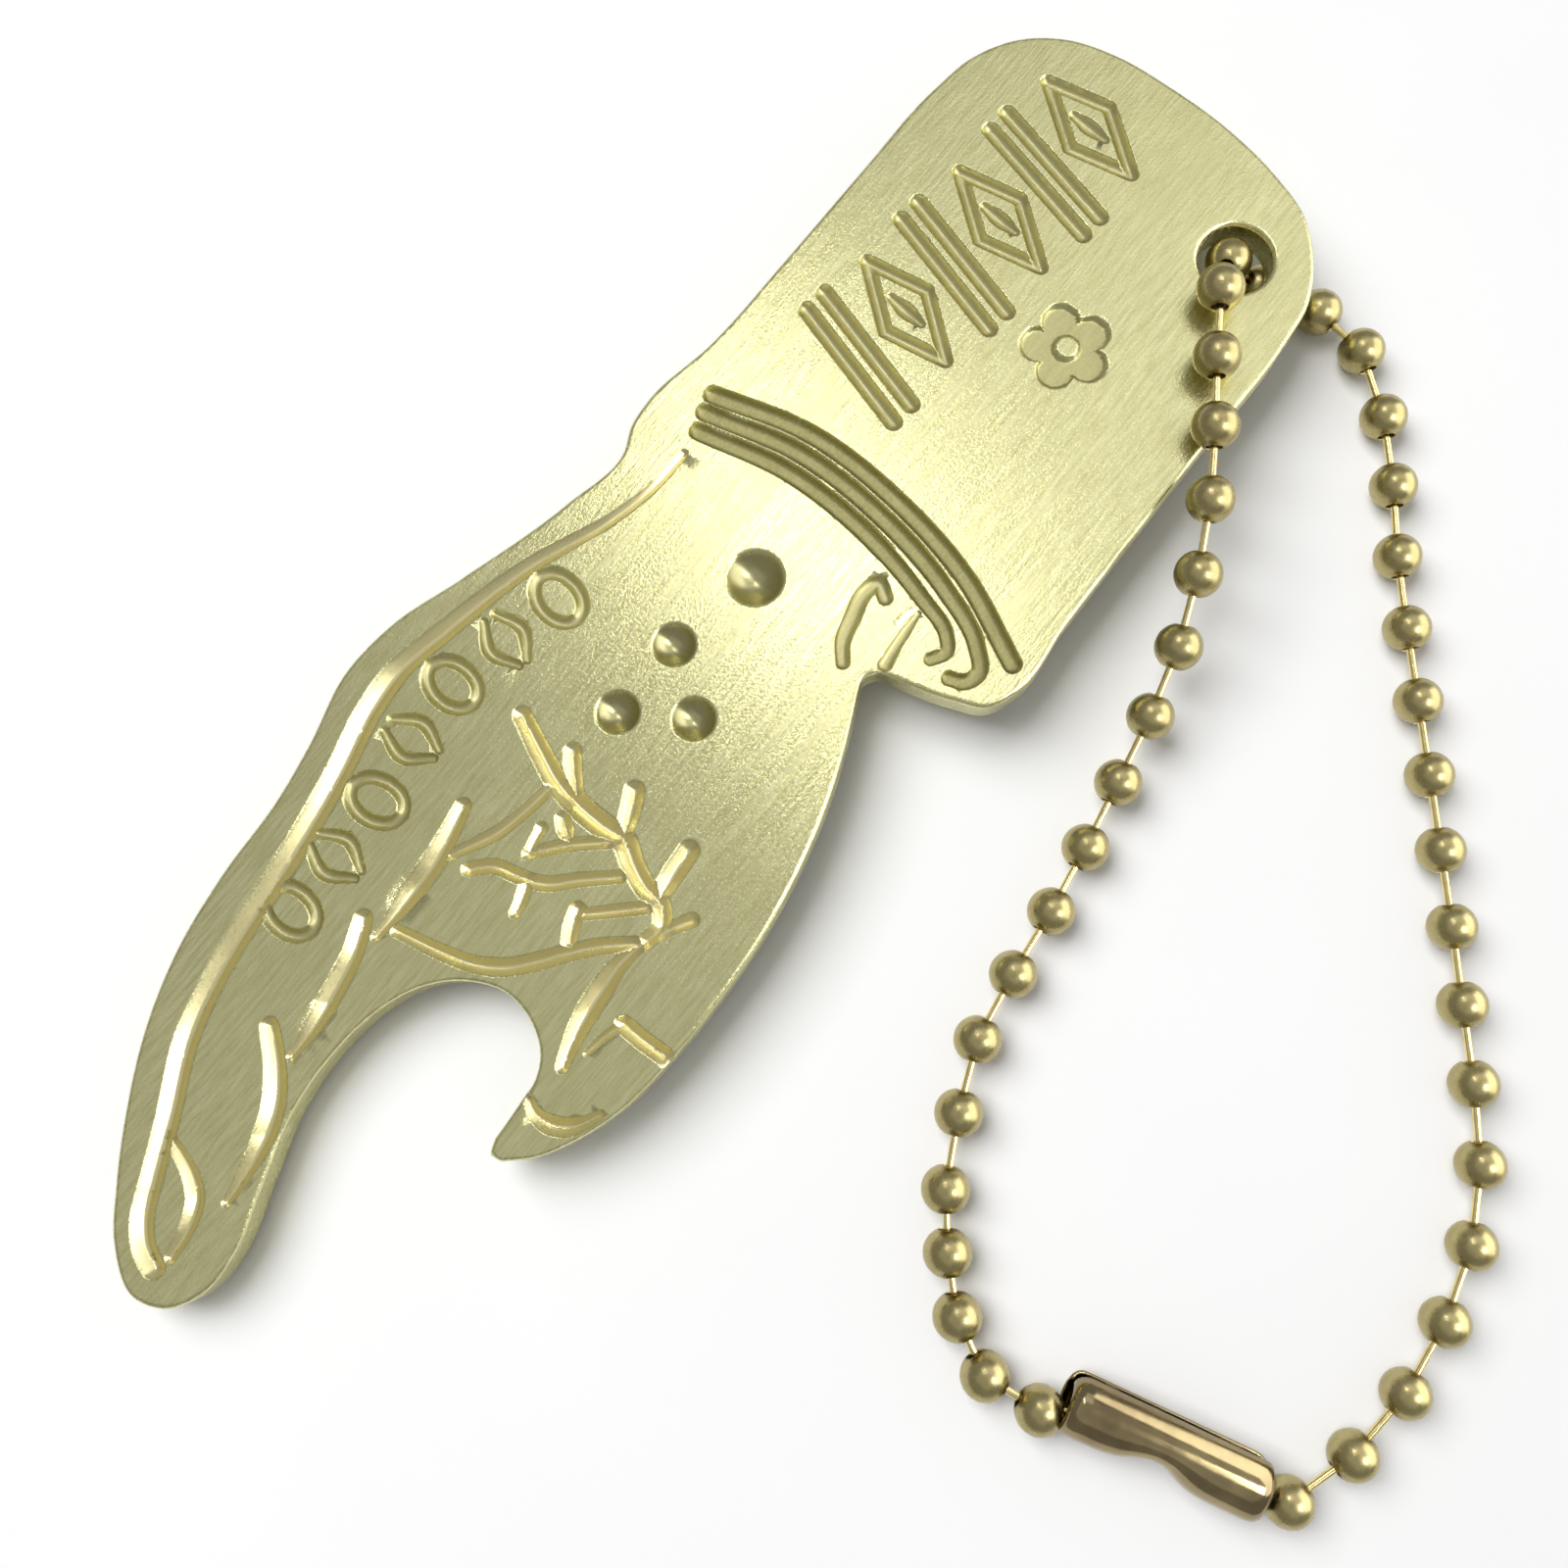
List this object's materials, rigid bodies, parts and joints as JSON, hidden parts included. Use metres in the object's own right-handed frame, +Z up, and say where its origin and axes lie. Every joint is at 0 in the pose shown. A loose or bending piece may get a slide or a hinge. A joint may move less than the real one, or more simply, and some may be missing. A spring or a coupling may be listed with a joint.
{
  "type": "keychain bottle opener",
  "caption": "Flat brass bottle opener cut as a pointing hand, on a closed loop of ball chain with a folded sheet-metal clasp.",
  "frame": {"origin": "centre of the footprint, on the table the opener lies on", "axes": "+X from the fingertip to the cuff, along the longest extent; +Z up, out of the engraved face"},
  "size_m": [0.0802, 0.0634, 0.0068],
  "materials": {
    "brushed_brass": "satin, finely brushed along the hand",
    "chain_gold": "polished",
    "clasp_gold": "polished"
  },
  "bodies": {
    "plate": {"opener_plate": "brushed_brass"},
    "loop_1": {"bead_hole": "chain_gold", "front_bead_01": "chain_gold", "front_bead_02": "chain_gold", "front_bead_03": "chain_gold", "front_bead_04": "chain_gold", "front_bead_05": "chain_gold", "front_bead_06": "chain_gold", "back_bead_01": "chain_gold", "back_bead_02": "chain_gold", "back_bead_03": "chain_gold", "back_bead_04": "chain_gold", "back_bead_05": "chain_gold", "back_bead_06": "chain_gold", "back_bead_07": "chain_gold", "back_bead_08": "chain_gold"},
    "loop_2": {"front_bead_07": "chain_gold", "front_bead_08": "chain_gold", "back_bead_09": "chain_gold", "back_bead_10": "chain_gold"},
    "loop_3": {"front_bead_09": "chain_gold", "front_bead_10": "chain_gold", "back_bead_11": "chain_gold", "back_bead_12": "chain_gold"},
    "loop_4": {"front_bead_11": "chain_gold", "front_bead_12": "chain_gold", "back_bead_13": "chain_gold", "back_bead_14": "chain_gold"},
    "loop_5": {"front_bead_13": "chain_gold", "front_bead_14": "chain_gold", "back_bead_15": "chain_gold"},
    "loop_6": {"front_bead_15": "chain_gold", "front_bead_16": "chain_gold", "back_bead_16": "chain_gold", "back_bead_17": "chain_gold"},
    "loop_7": {"front_bead_17": "chain_gold", "front_bead_18": "chain_gold", "front_bead_19": "chain_gold", "back_bead_18": "chain_gold", "back_bead_19": "chain_gold"},
    "clasp": {"chain_clasp": "clasp_gold", "back_bead_20": "chain_gold"}
  },
  "joints": [
    {"name": "loop_swing", "type": "hinge", "parent": "plate", "child": "loop_1", "pos_m": [0.03403, 0.00963, 0.00338], "axis": [-0.0218, 0.0558, 0.9982], "range_deg": [-2, 25]},
    {"name": "fold_1", "type": "hinge", "parent": "loop_1", "child": "loop_2", "pos_m": [0.01702, -0.00729, 0.00189], "axis": [-0.4647, 0.8802, 0.0969], "range_deg": [0, 15]},
    {"name": "fold_2", "type": "hinge", "parent": "loop_2", "child": "loop_3", "pos_m": [0.01071, -0.01077, 0.00124], "axis": [-0.4464, 0.8948, 0.0042], "range_deg": [0, 15]},
    {"name": "fold_3", "type": "hinge", "parent": "loop_3", "child": "loop_4", "pos_m": [0.00424, -0.01393, 0.0012], "axis": [-0.4316, 0.9021, 0.0001], "range_deg": [0, 15]},
    {"name": "fold_4", "type": "hinge", "parent": "loop_4", "child": "loop_5", "pos_m": [-0.00239, -0.01703, 0.0012], "axis": [-0.4184, 0.9082, 0], "range_deg": [0, 15]},
    {"name": "fold_5", "type": "hinge", "parent": "loop_5", "child": "loop_6", "pos_m": [-0.00705, -0.01934, 0.0012], "axis": [-0.5196, 0.8544, 0], "range_deg": [0, 15]},
    {"name": "fold_6", "type": "hinge", "parent": "loop_6", "child": "loop_7", "pos_m": [-0.0127, -0.02185, 0.0012], "axis": [-0.4629, 0.8864, 0], "range_deg": [0, 15]},
    {"name": "clasp_swivel", "type": "hinge", "parent": "loop_7", "child": "clasp", "pos_m": [-0.01545, -0.01972, 0.0015], "axis": [0.2524, -0.9676, 0], "range_deg": [-25, 25]}
  ]
}
